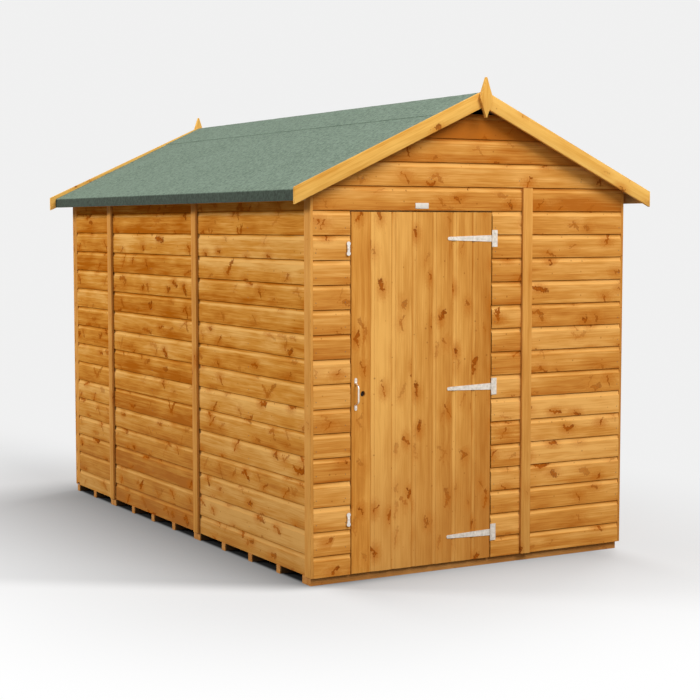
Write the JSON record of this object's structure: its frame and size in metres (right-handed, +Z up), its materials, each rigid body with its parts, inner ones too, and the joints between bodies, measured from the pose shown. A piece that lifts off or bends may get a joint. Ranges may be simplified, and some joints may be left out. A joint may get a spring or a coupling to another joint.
{
  "type": "apex shed",
  "caption": "Timber garden shed with a pitched felt roof, board-clad walls on a light frame, a raised floor and a single ledged door on tee hinges.",
  "frame": {"origin": "middle of the base, on the ground", "axes": "+Z up, the door gable faces -Y, the ridge runs along Y"},
  "size_m": [2.004, 3.2614, 2.3245],
  "materials": {
    "cladding": "dip-treated pine",
    "door_board": "dip-treated pine",
    "frame_timber": "planed pine",
    "strip": "planed pine",
    "barge": "planed pine",
    "base_timber": "sawn timber",
    "sheet_board": "strand board",
    "roof_felt": "green mineral felt",
    "zinc_steel": "bright zinc plate",
    "lock_case": "black paint"
  },
  "bodies": {
    "shed": {"front_cladding_latch_side": "cladding", "front_cladding_hinge_side": "cladding", "front_cladding_over_door": "cladding", "front_cladding_narrow": "cladding", "front_gable": "cladding", "left_cladding": "cladding", "right_cladding": "cladding", "rear_cladding": "cladding", "rear_gable": "cladding", "front_framing": "frame_timber", "front_gable_framing": "frame_timber", "rear_framing": "frame_timber", "rear_gable_framing": "frame_timber", "left_framing": "frame_timber", "right_framing": "frame_timber", "left_roof_rails": "frame_timber", "right_roof_rails": "frame_timber", "door_stops": "frame_timber", "left_cover_strips": "strip", "right_cover_strips": "strip", "front_cover_strip": "strip", "rear_cover_strip": "strip", "front_barge_left": "barge", "front_barge_right": "barge", "rear_barge_left": "barge", "rear_barge_right": "barge", "front_finial": "barge", "rear_finial": "barge", "floor_joists": "base_timber", "floor_deck": "sheet_board", "left_roof_boards": "sheet_board", "right_roof_boards": "sheet_board", "left_felt": "roof_felt", "right_felt": "roof_felt", "ridge_felt": "roof_felt", "hinge_plates": "zinc_steel", "turn_button_screws": "zinc_steel"},
    "door": {"door_lock_board": "door_board", "door_boards": "door_board", "door_ledges": "frame_timber", "rim_lock": "lock_case", "door_handle": "zinc_steel", "hinge_straps": "zinc_steel"},
    "upper_turn_button": {"turn_button_upper": "zinc_steel"},
    "lower_turn_button": {"turn_button_lower": "zinc_steel"}
  },
  "joints": [
    {"name": "door_hinge", "type": "hinge", "parent": "shed", "child": "door", "pos_m": [0.0935, -1.55025, 0.868], "axis": [0, 0, 1], "range_deg": [0, 170]},
    {"name": "upper_turn_button_pivot", "type": "hinge", "parent": "shed", "child": "upper_turn_button", "pos_m": [-0.696, -1.55225, 1.532], "axis": [0, -1, 0], "continuous": true},
    {"name": "lower_turn_button_pivot", "type": "hinge", "parent": "shed", "child": "lower_turn_button", "pos_m": [-0.696, -1.55225, 0.294], "axis": [0, -1, 0], "continuous": true}
  ]
}
